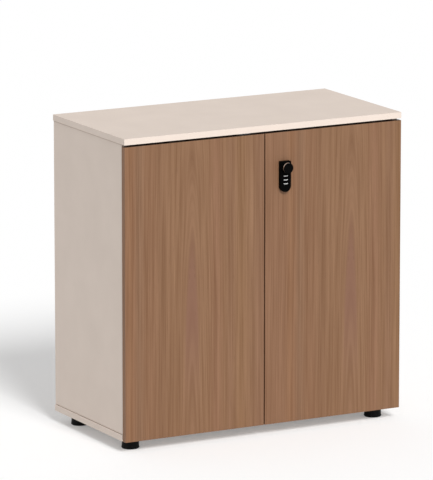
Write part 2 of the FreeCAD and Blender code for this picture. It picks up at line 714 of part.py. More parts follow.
def hinge_arm_screws():
    solids = [screw(ARM_SCREW, seat, X_AXIS) for seat in arm_screw_places()]
    return group(solids + [mirrored(s) for s in solids])


# Doors

def door_blank(side):
    edge, free = side * DOOR_EDGE, side * DOOR_FREE
    low = V(min(edge, free), FRONT, UNDERSIDE)
    high = V(max(edge, free), DOOR_BACK, DOOR_TOP)
    cutters = [on_side(cup_bore(z), side) for z in HINGE_HEIGHTS]
    cutters += [on_side(screw_hole(CUP_SCREW, seat, -Y_AXIS), side) for seat in ear_screw_places()]
    return board(low, high).cut(cutters)


def left_door_panel():
    cutters = [screw_hole(STRIKE_SCREW, seat, -Y_AXIS) for seat in strike_screw_places()]
    cutters += [screw_hole(CASE_SCREW, seat, -Y_AXIS) for seat in case_screw_places()]
    return door_blank(LEFT).cut(cutters)


def right_door_panel():
    return door_blank(RIGHT).cut(lock_boss(SEAT_CLEARANCE, FRONT - OVERRUN, DOOR_BACK + OVERRUN))


# Combination lock

def lock_outline(front, rear):
    """The plate: a flat top with small corner radii, straight sides and a half-round bottom."""
    half = LOCK_WIDTH / 2
    left, right = LOCK_X - half, LOCK_X + half
    low = LOCK_Z - LOCK_HEIGHT + half
    edges = [
        Part.LineSegment(V(left, front, low), V(left, front, LOCK_Z)).toShape(),
        Part.LineSegment(V(left, front, LOCK_Z), V(right, front, LOCK_Z)).toShape(),
        Part.LineSegment(V(right, front, LOCK_Z), V(right, front, low)).toShape(),
        Part.Arc(V(right, front, low), V(LOCK_X, front, low - half), V(left, front, low)).toShape(),
    ]
    return Part.Face(Part.Wire(edges)).extrude(Y_AXIS * (rear - front))


def lock_boss(clearance, front, rear):
    """The oblong body that passes through the door, or the cut-out round it."""
    half_width = LOCK_BOSS_WIDTH / 2 + clearance
    half_height = LOCK_BOSS_HEIGHT / 2 + clearance
    low = V(LOCK_X - half_width, 0, BOSS_CENTRE_Z - half_height)
    high = V(LOCK_X + half_width, 0, BOSS_CENTRE_Z + half_height)
    return oblong(low, high, front, rear)


def lock_screw_places():
    sunk = BACK_PLATE_REAR - LOCK_SCREW[1]
    return [V(LOCK_X, sunk, LOCK_Z - drop) for drop in LOCK_SCREW_DROPS]


def spindle_bore(start, end):
    return rod(SPINDLE_RADIUS + RUNNING_CLEARANCE, V(LOCK_X, start, KNOB_Z), V(LOCK_X, end, KNOB_Z))


def axle_ends():
    spare = Z_AXIS * (DIAL_HEIGHT / 2 + AXLE_SPARE)
    top, bottom = V(LOCK_X, DIAL_Y, DIAL_HEIGHTS[0]), V(LOCK_X, DIAL_Y, DIAL_HEIGHTS[-1])
    return bottom - spare, top + spare


def lock_housing():
    plate = lock_outline(LOCK_FACE, FRONT)
    corners = [e for e in plate.Edges if runs_along(e, Y_AXIS) and e.CenterOfMass.z > KNOB_Z]
    plate = plate.makeFillet(LOCK_CORNER, corners)
    rim = [e for e in plate.Edges if abs(e.CenterOfMass.y - LOCK_FACE) < SEAT_CLEARANCE]
    plate = plate.makeFillet(LOCK_EDGE, rim)
    solid = plate.fuse(lock_boss(0, FRONT, FRONT + LOCK_BOSS_DEPTH)).removeSplitter()
    half = Z_AXIS * (DIAL_HEIGHT / 2 + FREE_GAP)
    cutters = [spindle_bore(LOCK_FACE - OVERRUN, DOOR_BACK + OVERRUN)]
    for z in DIAL_HEIGHTS:
        centre = V(LOCK_X, DIAL_Y, z)
        cutters.append(rod(DIAL_RADIUS + DIAL_POCKET_RIM, centre - half, centre + half))
    cutters.append(rod(AXLE_RADIUS, *axle_ends()))
    cutters += [screw_hole(LOCK_SCREW, seat, -Y_AXIS) for seat in lock_screw_places()]
    return solid.cut(cutters)


def lock_back_plate():
    half_width = LOCK_BOSS_WIDTH / 2 + BACK_PLATE_MARGIN
    half_height = LOCK_BOSS_HEIGHT / 2 + BACK_PLATE_MARGIN
    low = V(LOCK_X - half_width, DOOR_BACK, BOSS_CENTRE_Z - half_height)
    high = V(LOCK_X + half_width, BACK_PLATE_REAR, BOSS_CENTRE_Z + half_height)
    plate = rounded_plate(low, high, half_width / 2, Y_AXIS)
    cutters = [spindle_bore(DOOR_BACK - OVERRUN, BACK_PLATE_REAR + OVERRUN)]
    cutters += [screw_hole(LOCK_SCREW, seat, -Y_AXIS) for seat in lock_screw_places()]
    sink = Y_AXIS * (LOCK_SCREW[1] + OVERRUN)
    cutters += [rod(LOCK_SCREW[0] + SEAT_CLEARANCE, seat, seat + sink) for seat in lock_screw_places()]
    return plate.cut(cutters)


def lock_back_screws():
    return group([screw(LOCK_SCREW, seat, -Y_AXIS) for seat in lock_screw_places()])


def dial_axle():
    return rod(AXLE_RADIUS, *axle_ends())


def lock_dial(index):
    """A number wheel with a finger groove between each pair of its ten faces."""
    centre = V(LOCK_X, DIAL_Y, DIAL_HEIGHTS[index])
    half = Z_AXIS * (DIAL_HEIGHT / 2)
    wheel = rod(DIAL_RADIUS, centre - half, centre + half)
    cutters = [rod(AXLE_RADIUS + RUNNING_CLEARANCE, centre - half * 2, centre + half * 2)]
    rim = centre + X_AXIS * DIAL_RADIUS
    for step in range(DIAL_GROOVES):
        groove = rod(DIAL_GROOVE_RADIUS, rim - half * 2, rim + half * 2)
        groove.rotate(centre, Z_AXIS, 360 / DIAL_GROOVES * step)
        cutters.append(groove)
    return wheel.cut(cutters)


def lock_knob():
    """A turned knob with a skirt, a dished face and a mark that shows which way the cam points."""
    skirt = KNOB_RADIUS + KNOB_SKIRT_RIM
    section = [
        (SPINDLE_RADIUS, 0),
        (skirt, 0),
        (skirt, KNOB_SKIRT),
        (KNOB_RADIUS, KNOB_SKIRT + KNOB_SKIRT_RIM),
        (KNOB_RADIUS, KNOB_HEIGHT - KNOB_EDGE),
        (KNOB_RADIUS - KNOB_EDGE, KNOB_HEIGHT),
        (KNOB_RADIUS - KNOB_FACE_RIM, KNOB_HEIGHT),
        (KNOB_RADIUS - KNOB_FACE_RIM - KNOB_DISH, KNOB_HEIGHT - KNOB_DISH),
        (0, KNOB_HEIGHT - KNOB_DISH),
        (0, KNOB_HEIGHT / 2),
        (SPINDLE_RADIUS, KNOB_HEIGHT / 2),
    ]
    solid = revolved(section, V(LOCK_X, LOCK_FACE - FREE_GAP, KNOB_Z), -Y_AXIS)
    face = LOCK_FACE - FREE_GAP - KNOB_HEIGHT
    mark_top = KNOB_Z + KNOB_RADIUS - KNOB_FACE_RIM
    low = V(LOCK_X - KNOB_MARK_WIDTH / 2, face - OVERRUN, mark_top - KNOB_MARK_LENGTH)
    high = V(LOCK_X + KNOB_MARK_WIDTH / 2, face + KNOB_DISH * 2, mark_top)
    return solid.cut(block(low, high))


def lock_spindle():
    """A round shaft from the knob to the cam, squared where the cam sits on it."""
    start = LOCK_FACE - FREE_GAP - KNOB_HEIGHT / 2
    shaft = rod(SPINDLE_RADIUS, V(LOCK_X, start, KNOB_Z), V(LOCK_X, CAM_FRONT, KNOB_Z))
    half = SPINDLE_SQUARE / 2
    square = block(V(LOCK_X - half, CAM_FRONT, KNOB_Z - half), V(LOCK_X + half, CAM_REAR, KNOB_Z + half))
    hole = screw_hole(CAM_SCREW, V(LOCK_X, CAM_REAR, KNOB_Z), -Y_AXIS)
    return shaft.fuse(square).cut(hole)


def lock_cam():
    """A flat tongue that hangs down when the lock is open, and turns behind the other door."""
    hub = rod(CAM_HUB_RADIUS, V(LOCK_X, CAM_FRONT, KNOB_Z), V(LOCK_X, CAM_REAR, KNOB_Z))
    low = V(LOCK_X - CAM_WIDTH / 2, 0, KNOB_Z - CAM_LENGTH)
    high = V(LOCK_X + CAM_WIDTH / 2, 0, KNOB_Z + CAM_WIDTH / 2)
    half = SPINDLE_SQUARE / 2 + SEAT_CLEARANCE
    socket = block(
        V(LOCK_X - half, CAM_FRONT - OVERRUN, KNOB_Z - half),
        V(LOCK_X + half, CAM_REAR + OVERRUN, KNOB_Z + half),
    )
    return oblong(low, high, CAM_FRONT, CAM_REAR).fuse(hub).removeSplitter().cut(socket)


def lock_cam_screw():
    return screw(CAM_SCREW, V(LOCK_X, CAM_REAR, KNOB_Z), -Y_AXIS)


# Strike and slide bolt on the left door

def strike_rear():
    return CAM_FRONT - STRIKE_PLAY


def strike_screw_places():
    middle = V(-DOOR_FREE - STRIKE_EDGE_INSET - STRIKE_WIDTH / 2, strike_rear(), KNOB_Z)
    offset = Z_AXIS * (STRIKE_HEIGHT / 2 - STRIKE_SCREW[0] * 2)
    return [middle + offset, middle - offset]


def lock_strike():
    """A wear plate that the turned cam bears against, with sloped edges above and below."""
    right = -DOOR_FREE - STRIKE_EDGE_INSET
    low = V(right - STRIKE_WIDTH, DOOR_BACK, KNOB_Z - STRIKE_HEIGHT / 2)
    high = V(right, strike_rear(), KNOB_Z + STRIKE_HEIGHT / 2)
    plate = block(low, high)
    rear = [e for e in plate.Edges if abs(e.CenterOfMass.y - high.y) < SEAT_CLEARANCE]
    plate = plate.makeChamfer(STRIKE_LEAD, rear)
    return plate.cut([screw_hole(STRIKE_SCREW, seat, -Y_AXIS) for seat in strike_screw_places()])


def lock_strike_screws():
    return group([screw(STRIKE_SCREW, seat, -Y_AXIS) for seat in strike_screw_places()])


def case_screw_places():
    middle = V(ROD_X, DOOR_BACK + BOLT_BASE, (CASE_TOP + CASE_BOTTOM) / 2)
    across = X_AXIS * (BOLT_CASE_WIDTH / 2 - CASE_SCREW[0] - SEAT_CLEARANCE)
    along = Z_AXIS * (BOLT_CASE_HEIGHT / 2 - CASE_SCREW[0] * 2)
    return [middle + across * x + along * z for x in (LEFT, RIGHT) for z in (LEFT, RIGHT)]


def bolt_guide(bottom):
    """A bridge over the rod with a rounded crown."""
    crown = GUIDE_WIDTH / 2
    low = V(ROD_X - crown, DOOR_BACK, bottom)
    high = V(ROD_X + crown, DOOR_BACK + GUIDE_HEIGHT, bottom + GUIDE_WIDTH)
    bridge = block(low, high)
    crest = [e for e in bridge.Edges if abs(e.CenterOfMass.y - high.y) < SEAT_CLEARANCE]
    ridge = [e for e in crest if runs_along(e, Z_AXIS)]
    return bridge.makeFillet(GUIDE_HEIGHT / 2, ridge)


def slide_bolt_case():
    half = BOLT_CASE_WIDTH / 2
    low = V(ROD_X - half, DOOR_BACK, CASE_BOTTOM)
    high = V(ROD_X + half, DOOR_BACK + BOLT_BASE, CASE_TOP)
    base = rounded_plate(low, high, BOLT_CORNER, Y_AXIS)
    guides = [bolt_guide(CASE_BOTTOM), bolt_guide(CASE_TOP - GUIDE_WIDTH)]
    bore_start = V(ROD_X, ROD_Y, CASE_BOTTOM - OVERRUN)
    bore_end = V(ROD_X, ROD_Y, CASE_TOP + OVERRUN)
    cutters = [rod(ROD_RADIUS + RUNNING_CLEARANCE, bore_start, bore_end)]
    cutters += [screw_hole(CASE_SCREW, seat, -Y_AXIS) for seat in case_screw_places()]
    return base.fuse(guides).removeSplitter().cut(cutters)


def slide_bolt_screws():
    return group([screw(CASE_SCREW, seat, -Y_AXIS) for seat in case_screw_places()])


def slide_bolt_rod():
    """A rod with a rounded tip and a thumb stud between its guides."""
    low = CASE_BOTTOM - ROD_TAIL
    tip = DOOR_TOP - ROD_TIP_DROP
    section = [
        (0, low),
        (ROD_RADIUS, low),
        (ROD_RADIUS, tip - ROD_TIP_ROUND),
        (ROD_RADIUS - ROD_TIP_ROUND, tip),
        (0, tip),
    ]
    shaft = revolved(section, V(ROD_X, ROD_Y, 0), Z_AXIS)
    stud = rod(STUD_RADIUS, V(ROD_X, ROD_Y, STUD_Z), V(ROD_X, ROD_Y + ROD_RADIUS + STUD_HEIGHT, STUD_Z))
    return shaft.fuse(stud)


def keeper_screw_places():
    half = X_AXIS * (KEEPER_SCREW_SPACING / 2)
    middle = V(ROD_X, KEEPER_FRONT + (KEEPER_THICKNESS + KEEPER_DEPTH) / 2, CEILING - KEEPER_THICKNESS)
    return [middle + half, middle - half]


def bolt_keeper():
    """An angle under the top board: a lip in front of the shot rod, and a flat leg notched for its tip."""
    half = KEEPER_WIDTH / 2
    low = V(ROD_X - half, KEEPER_FRONT, CEILING - KEEPER_LIP)
    high = V(ROD_X + half, KEEPER_FRONT + KEEPER_DEPTH, CEILING)
    leg = block(V(low.x, low.y, CEILING - KEEPER_THICKNESS), high)
    lip = block(low, V(high.x, low.y + KEEPER_THICKNESS, CEILING))
    angle = leg.fuse(lip).removeSplitter()
    corners = [e for e in angle.Edges if runs_along(e, Y_AXIS) and e.CenterOfMass.z < leg.BoundBox.ZMin]
    corners += [e for e in angle.Edges if runs_along(e, Z_AXIS) and e.CenterOfMass.y > lip.BoundBox.YMax]
    angle = angle.makeFillet(BOLT_CORNER, corners)
    notch_half = ROD_RADIUS + KEEPER_PLAY
    notch_low = V(ROD_X - notch_half, low.y + KEEPER_THICKNESS, low.z)
    notch = block(notch_low, V(ROD_X + notch_half, high.y + OVERRUN, CEILING + OVERRUN))
    return angle.cut([notch] + [screw_hole(KEEPER_SCREW, seat, Z_AXIS) for seat in keeper_screw_places()])


def bolt_keeper_screws():
    return group([screw(KEEPER_SCREW, seat, Z_AXIS) for seat in keeper_screw_places()])


NODES = {
    "top_panel": top_panel(),
    "bottom_panel": bottom_panel(),
    "left_side_panel": side_panel(LEFT),
    "right_side_panel": side_panel(RIGHT),
    "back_panel": back_panel(),
    "shelf": shelf(),
    "shelf_pins": shelf_pins(),
    "cam_discs": cam_discs(),
    "cam_bolts": cam_bolts(),
    "alignment_dowels": alignment_dowels(),
    "door_bumpers": door_bumpers(),
    "foot_sockets": foot_sockets(),
    "left_hinge_plates": hinge_plates(LEFT),
    "right_hinge_plates": hinge_plates(RIGHT),
    "left_hinge_arms": hinge_arms(LEFT),
    "right_hinge_arms": hinge_arms(RIGHT),
    "hinge_plate_screws": hinge_plate_screws(),
    "hinge_arm_screws": hinge_arm_screws(),
    "bolt_keeper": bolt_keeper(),
    "bolt_keeper_screws": bolt_keeper_screws(),
    "left_door_panel": left_door_panel(),
    "left_hinge_cups": hinge_cups(LEFT),
    "left_hinge_pins": hinge_pins(LEFT),
    "left_cup_screws": cup_screws(LEFT),
    "lock_strike": lock_strike(),
    "lock_strike_screws": lock_strike_screws(),
    "slide_bolt_case": slide_bolt_case(),
    "slide_bolt_screws": slide_bolt_screws(),
    "slide_bolt_rod": slide_bolt_rod(),
    "right_door_panel": right_door_panel(),
    "right_hinge_cups": hinge_cups(RIGHT),
    "right_hinge_pins": hinge_pins(RIGHT),
    "right_cup_screws": cup_screws(RIGHT),
    "lock_housing": lock_housing(),
    "lock_back_plate": lock_back_plate(),
    "lock_back_screws": lock_back_screws(),
    "dial_axle": dial_axle(),
    "lock_knob": lock_knob(),
    "lock_spindle": lock_spindle(),
    "lock_cam": lock_cam(),
    "lock_cam_screw": lock_cam_screw(),
}
for index in range(DIAL_COUNT):
    NODES["lock_dial_%d" % (index + 1)] = lock_dial(index)
for name, place in FOOT_PLACES.items():
    NODES[name + "_foot"] = foot_pad(place)
    NODES[name + "_foot_stem"] = foot_stem(place)

for name, shape in NODES.items():
    shape.exportStep("parts/%s.step" % name)
    print(name, len(shape.Solids), round(shape.Volume), shape.isValid())
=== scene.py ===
# %% [markdown]
# # A two-door office cabinet
# The construction is already fixed: boards, doors, hinges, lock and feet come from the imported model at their
# real size. This lesson gives each piece the finish of the real thing, adds the few details that are too
# small for the construction, and then lights and frames the cabinet as a catalogue picture does.

# %% Load the construction
import json
import math

import bpy
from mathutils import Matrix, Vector

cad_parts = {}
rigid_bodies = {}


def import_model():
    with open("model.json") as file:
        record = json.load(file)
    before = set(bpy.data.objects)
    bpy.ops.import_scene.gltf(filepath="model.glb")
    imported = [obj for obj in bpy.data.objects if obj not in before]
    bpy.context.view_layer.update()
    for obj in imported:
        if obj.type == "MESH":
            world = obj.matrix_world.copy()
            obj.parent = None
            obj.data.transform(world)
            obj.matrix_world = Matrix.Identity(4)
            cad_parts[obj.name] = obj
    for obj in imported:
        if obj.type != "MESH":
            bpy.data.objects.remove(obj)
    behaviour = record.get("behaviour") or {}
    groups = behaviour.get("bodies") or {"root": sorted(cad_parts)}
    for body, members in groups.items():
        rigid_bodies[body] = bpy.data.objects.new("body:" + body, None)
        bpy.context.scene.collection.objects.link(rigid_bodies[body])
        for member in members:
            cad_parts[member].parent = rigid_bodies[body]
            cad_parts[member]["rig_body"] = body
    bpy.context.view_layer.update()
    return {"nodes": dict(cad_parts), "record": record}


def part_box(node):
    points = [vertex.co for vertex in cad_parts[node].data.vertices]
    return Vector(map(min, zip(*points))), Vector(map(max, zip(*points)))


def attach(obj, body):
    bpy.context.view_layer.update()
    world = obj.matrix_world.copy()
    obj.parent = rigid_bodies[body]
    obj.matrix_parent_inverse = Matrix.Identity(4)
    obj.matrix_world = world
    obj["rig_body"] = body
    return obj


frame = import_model()
MM = 0.001

# %% [markdown]
# ## Two helpers
# Colours are written as sRGB hex, the way a colour picker shows them, but shaders work in linear light. One
# function does that step. A second one adds a node, because every material below is a small node tree:
# `links` fills or links the inputs, `stops` fills a colour ramp, and everything else is a property.

# %% Colour and node helpers
def linear(hex_colour):
    """An sRGB hex colour as linear red, green, blue and alpha."""
    channels = [int(hex_colour[i:i + 2], 16) / 255 for i in (1, 3, 5)]
    return [c / 12.92 if c <= 0.04045 else ((c + 0.055) / 1.055) ** 2.4 for c in channels] + [1.0]


def add(tree, kind, links=None, stops=None, **settings):
    """Adds one node with its properties, its input values or links, and its colour stops."""
    made = tree.nodes.new("ShaderNode" + kind)
    for name, value in settings.items():
        setattr(made, name, value)
    for key, value in (links or {}).items():
        value = value.outputs[0] if isinstance(value, bpy.types.Node) else value
        if isinstance(value, bpy.types.NodeSocket):
            tree.links.new(value, made.inputs[key])
        else:
            made.inputs[key].default_value = value
    if stops:
        ramp = made.color_ramp.elements
        ramp[0].position, ramp[0].color = stops[0][0], linear(stops[0][1])
        ramp[1].position, ramp[1].color = stops[-1][0], linear(stops[-1][1])
        for place, tone in stops[1:-1]:
            ramp.new(place).color = linear(tone)
    return made


print("white is", [round(c, 2) for c in linear("#FFFFFF")], "and mid grey", round(linear("#808080")[0], 3))

# %% [markdown]
# ## Camera
# The picture was taken from the left, a little above the top board, with a long lens: the cabinet's parallel
# edges hardly meet. A camera without perspective would come close, but the edges do meet a little. So the
# camera stands more than twelve metres away and has a narrow angle. Azimuth and elevation say where it
# stands, and the target is the point at the middle of the picture.

# %% Camera
VIEW_TARGET = Vector((-139.2, -185.5, 526.6)) * MM
VIEW_AZIMUTH = math.radians(-28.49)
VIEW_ELEVATION = math.radians(11.76)
VIEW_DISTANCE = 12591.0 * MM
FOCAL_LENGTH = 374.3
SENSOR = 36.0

scene = bpy.context.scene
towards_camera = Vector((
    math.sin(VIEW_AZIMUTH) * math.cos(VIEW_ELEVATION),
    -math.cos(VIEW_AZIMUTH) * math.cos(VIEW_ELEVATION),
    math.sin(VIEW_ELEVATION),
))
camera_data = bpy.data.cameras.new("camera")
camera_data.lens = FOCAL_LENGTH
camera_data.sensor_width = SENSOR
camera = bpy.data.objects.new("camera", camera_data)
camera.location = VIEW_TARGET + towards_camera * VIEW_DISTANCE
camera.rotation_euler = towards_camera.to_track_quat("Z", "Y").to_euler()
scene.collection.objects.link(camera)
scene.camera = camera
scene.view_settings.view_transform = "Standard"
print("camera at", [round(c, 2) for c in camera.location], "m")

# %% [markdown]
# ## White surroundings
# A catalogue picture is taken in a white room. The room lights the shaded sides of the cabinet, and behind
# the cabinet it is plain white. Walls could be built and lit, but a world colour does the same and is even.
# The room's light has to be about half of full white, or the shade would be too pale. So the world asks each
# ray where it comes from: rays from the camera, from gloss and through clear plastic see plain white, and
# rays that light matt surfaces get the weaker fill.

# %% White surroundings
FILL_STRENGTH = 0.46


def seen_directly(tree):
    """One for rays from the camera, from gloss and through clear plastic, zero for light on matt things."""
    path = add(tree, "LightPath").outputs
    mirrored = add(tree, "Math", {0: path["Is Camera Ray"], 1: path["Is Glossy Ray"]}, operation="MAXIMUM")
    return add(tree, "Math", {0: mirrored, 1: path["Is Transmission Ray"]}, operation="MAXIMUM")


world = bpy.data.worlds.new("white_studio")
world.use_nodes = True
world.node_tree.nodes.clear()
scene.world = world
sky = world.node_tree
fill = add(sky, "Background", {"Color": linear("#FFFFFF"), "Strength": FILL_STRENGTH})
white = add(sky, "Background", {"Color": linear("#FFFFFF"), "Strength": 1.0})
add(sky, "OutputWorld", {"Surface": add(sky, "MixShader", {0: seen_directly(sky), 1: fill, 2: white})})
print("surroundings fill the shade with", FILL_STRENGTH, "of full white")

# %% [markdown]
# ## Paper on the floor
# The cabinet stands on a wide sheet of matt white paper, which shows its shadow. Plain white paper would show
# the shadow darker than the picture does, because a studio also lights its paper. A lamp for the paper alone
# would light the cabinet too, so about a quarter of what is seen of the paper is plain white instead.

# %% Paper on the floor
FLOOR_SIDE = 60.0
PAPER_GLOW_SHARE = 0.24
PAPER_CLOUD = 100 * MM
PAPER_RELIEF = 0.1 * MM


def empty_material(name):
    """A new material with an empty node tree."""
    made = bpy.data.materials.new(name)
    made.use_nodes = True
    made.node_tree.nodes.clear()
    return made


def studio_paper():
    """Matt white paper: no gloss, with a faint unevenness across a hand's width."""
    made = empty_material("studio_paper_matt")
    tree = made.node_tree
    place = add(tree, "TexCoord").outputs["Object"]
    cloud = add(tree, "TexNoise", {"Vector": place, "Scale": 1 / PAPER_CLOUD})
    grain = add(tree, "Bump", {"Height": cloud, "Strength": 0.02, "Distance": PAPER_RELIEF})
    skin = add(tree, "BsdfDiffuse", {"Color": linear("#FFFFFF"), "Normal": grain})
    glow = add(tree, "Emission", {"Color": linear("#FFFFFF"), "Strength": 1.0})
    share = add(tree, "Math", {0: seen_directly(tree), 1: PAPER_GLOW_SHARE}, operation="MULTIPLY")
    add(tree, "OutputMaterial", {"Surface": add(tree, "MixShader", {0: share, 1: skin, 2: glow})})
    return made


half = FLOOR_SIDE / 2
floor_mesh = bpy.data.meshes.new("floor")
floor_corners = [(-half, -half, 0), (half, -half, 0), (half, half, 0), (-half, half, 0)]
floor_mesh.from_pydata(floor_corners, [], [(0, 1, 2, 3)])
floor = bpy.data.objects.new("floor", floor_mesh)
floor_mesh.materials.append(studio_paper())
scene.collection.objects.link(floor)
print("paper", FLOOR_SIDE, "m wide")

# %% [markdown]
# ## One soft lamp
# The shadow tells where the lamp stood: straight in front of the doors and hardly to the left, about forty
# degrees up. So doors and top are bright, the left side lies in half shade, and the shadow falls straight
# back. An area lamp would light the near side more than the far one. A sun with a wide disc is as soft and
# lights everything evenly.

# %% One soft lamp
KEY_STRENGTH = 2.68
KEY_DISC = math.radians(20)
TOWARDS_KEY = Vector((-0.06, -0.77, 0.63))

lamp = bpy.data.lights.new("key_light", "SUN")
lamp.energy = KEY_STRENGTH
lamp.angle = KEY_DISC
lamp_holder = bpy.data.objects.new("key_light", lamp)
lamp_holder.rotation_euler = TOWARDS_KEY.to_track_quat("Z", "Y").to_euler()
scene.collection.objects.link(lamp_holder)
key_height = math.asin(TOWARDS_KEY.normalized().z)
print("lamp", round(math.degrees(key_height)), "degrees up, disc", round(math.degrees(KEY_DISC)), "degrees")

# %% [markdown]
# ## Melamine-faced board
# The carcass is chipboard with a beige melamine face. The face is pressed against a steel plate with a fine
# pearl, so it is matt, breaks up reflections and shows next to no pattern. A picture of a board could be
# wrapped round it, but the pearl is even in all directions, so a noise in the board's own coordinates does
# it with no seams. The pearl is under a millimetre, drawn at 1.5 mm so that it shows. On the boards just
# below the top board, a thin band is painted darker towards it: painted shade, the shadow line of the top
# board's slight overhang.

# %% Melamine-faced board
MELAMINE_PEARL = 1.5 * MM
MELAMINE_CLOUD = 90 * MM
PEARL_RELIEF = 0.05 * MM
# Height of the band of painted shade under the top board.
OVERHANG_SHADE_BAND = 3 * MM
JOINT_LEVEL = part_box("top_panel")[0].z - 0.05 * MM

by_slot = {}
for subpart in frame["record"]["subparts"]:
    by_slot.setdefault(subpart["material_slot"], []).append(subpart["node"])


def dress(material, names):
    """Gives CAD pieces one material."""
    for name in names:
        slots = frame["nodes"][name].data.materials
        slots.clear()
        slots.append(material)
    print(material.name, "on", len(names), "pieces")


def melamine_board():
    """Beige melamine, pressed matt: an even colour, a fine pearl, a broken, weak reflection and painted shade
    under the top board.
    """
    made = empty_material("melamine_board_beige_pressed")
    tree = made.node_tree
    place = add(tree, "TexCoord").outputs["Object"]
    cloud = add(tree, "TexNoise", {"Vector": place, "Scale": 1 / MELAMINE_CLOUD, "Detail": 3.0})
    tone = add(tree, "ValToRGB", {0: cloud}, [(0.3, "#D6C8BD"), (0.7, "#DACCC1")])
    height = add(tree, "SeparateXYZ", {0: place}).outputs["Z"]
    # Painted shade: just below the top board the colour darkens towards it, standing in for its overhang's
    # shadow.
    shade_band_foot = JOINT_LEVEL - OVERHANG_SHADE_BAND
    above = add(tree, "MapRange", {"Value": height, "From Min": shade_band_foot, "From Max": JOINT_LEVEL})
    below = add(tree, "Math", {0: height, 1: JOINT_LEVEL}, operation="LESS_THAN")
    overhang_shade = add(tree, "Math", {0: above, 1: below}, operation="MULTIPLY")
    overhang_shaded = add(tree, "Mix", {0: overhang_shade, 6: tone, 7: linear("#9C8B7D")}, data_type="RGBA").outputs[2]
    pearl = add(tree, "TexNoise", {"Vector": place, "Scale": 1 / MELAMINE_PEARL, "Detail": 2.0})
    relief = add(tree, "Bump", {"Height": pearl, "Strength": 0.25, "Distance": PEARL_RELIEF})
    gloss = add(tree, "MapRange", {"Value": pearl, "To Min": 0.6, "To Max": 0.7})
    skin = add(tree, "BsdfPrincipled", {
        "Base Color": overhang_shaded, "Roughness": gloss, "IOR": 1.48, "Specular IOR Level": 0.2, "Normal": relief,
    })
    add(tree, "OutputMaterial", {"Surface": skin})
    return made


dress(melamine_board(), by_slot["beige_melamine"])

# %% [markdown]
# ## Walnut laminate: the log behind the print
# The doors are chipboard with a printed walnut laminate. Both are cut from the same print, so both show the
# same stripes and the same long flame, only at another place. The flame has a simple cause: a log is a slim
# cone, and a flat cut through it shows its year rings as tall arches. Arches could be drawn one by one, but
# it is less work to let the cut draw them: the material works out how far each point of the board lies from
# the log's axis. Far from the axis that distance grows sideways, and over it the lines of equal distance
# close to arches. The grain also wavers a little to the left and right on its way up.

# %% Distance from the log's axis
LOG_TAPER = 0.03
FLAME_TIP = 560 * MM
FLAME_FOOT = -420 * MM
TIP_RING = LOG_TAPER * (FLAME_TIP - FLAME_FOOT)
WAVER = 3 * MM
WAVER_WIDTH = 80 * MM
WAVER_LENGTH = 400 * MM
DOOR_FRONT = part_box("left_door_panel")[0].y


def log_cut(tree, flame_x):
    """For each point of a door: its place across the print, its distance from the log's axis, its height."""
    x, y, z = add(tree, "SeparateXYZ", {0: add(tree, "TexCoord").outputs["Object"]}).outputs

    # Depth counts as width, so that the streaks go on over the door's upright edges.
    sideways = add(tree, "Math", {0: x, 1: y}, operation="ADD")
    on_print = add(tree, "Math", {0: sideways, 1: flame_x + DOOR_FRONT}, operation="SUBTRACT")
    rise = add(tree, "Math", {0: z, 1: WAVER_WIDTH / WAVER_LENGTH}, operation="MULTIPLY")
    slow = add(tree, "CombineXYZ", {0: on_print, 2: rise})
    waver = add(tree, "TexNoise", {"Vector": slow, "Scale": 1 / WAVER_WIDTH, "Detail": 1.5})
    shift = add(tree, "Math", {0: waver, 1: 2 * WAVER, 2: -WAVER}, operation="MULTIPLY_ADD")
    across = add(tree, "Math", {0: on_print, 1: shift}, operation="ADD")

    # The axis leaves the board's face slowly from the flame's foot upwards.
    depth = add(tree, "Math", {0: z, 1: LOG_TAPER, 2: -LOG_TAPER * FLAME_FOOT}, operation="MULTIPLY_ADD")
    across_squared = add(tree, "Math", {0: across, 1: across}, operation="MULTIPLY")
    both_squared = add(tree, "Math", {0: depth, 1: depth, 2: across_squared}, operation="MULTIPLY_ADD")
    ring = add(tree, "Math", {0: both_squared}, operation="SQRT")
    return across, ring, z


print("the ring that closes at the flame's tip is", round(TIP_RING / MM, 1), "mm from the log's axis")

# %% [markdown]
# ## Walnut laminate: streaks, stripes and heart
# Over one another lie broad stripes, warm and cool, then the streaks of the year rings as a darker or lighter
# veil, then the tinted heart of the flame, which is all that lies within the ring that closes at its tip, and
# then short dark pores. A wave texture would draw the rings evenly spaced, which looks like cloth. Noise that
# is squeezed along the distance from the log's axis and stretched upwards gives uneven, long streaks.

# %% Colour of the walnut print
RING_WIDTH = 2.4 * MM
RING_LENGTH = 240 * MM
BAND_WIDTH = 9 * MM
BAND_LENGTH = 400 * MM
PORE_WIDTH = 1.1 * MM
PORE_LENGTH = 28 * MM
STREAK_DRIFT = 240 * MM
RING_SHARE = 0.6
HEART_EDGE = (-0.5 * MM, 3 * MM)
HEART_FADE = (120 * MM, 320 * MM)
STRIPE_SPAN = 200 * MM
STRIPES = [
    (-194, "#8A674E"), (-178, "#8D684C"), (-166, "#8B674D"), (-152, "#86664E"), (-130, "#8B684E"),
    (-110, "#89664C"), (-92, "#87654B"), (-50, "#8B694E"), (0, "#89674D"), (42, "#8D6B50"),
    (70, "#8C684F"), (94, "#8A684D"), (112, "#8B6950"), (140, "#8D6B4E"), (194, "#88664E"),
]


def streaks(tree, cut, width, length, detail):
    """Uneven streaks of one width that follow the year rings."""
    across, ring, z = cut
    wide = add(tree, "Math", {0: ring, 1: 1 / width}, operation="MULTIPLY")
    side = add(tree, "Math", {0: across, 1: 1 / STREAK_DRIFT}, operation="MULTIPLY")
    tall = add(tree, "Math", {0: z, 1: 1 / length}, operation="MULTIPLY")
    spot = add(tree, "CombineXYZ", {0: wide, 1: side, 2: tall})
    return add(tree, "TexNoise", {"Vector": spot, "Scale": 1.0, "Detail": detail, "Roughness": 0.55})


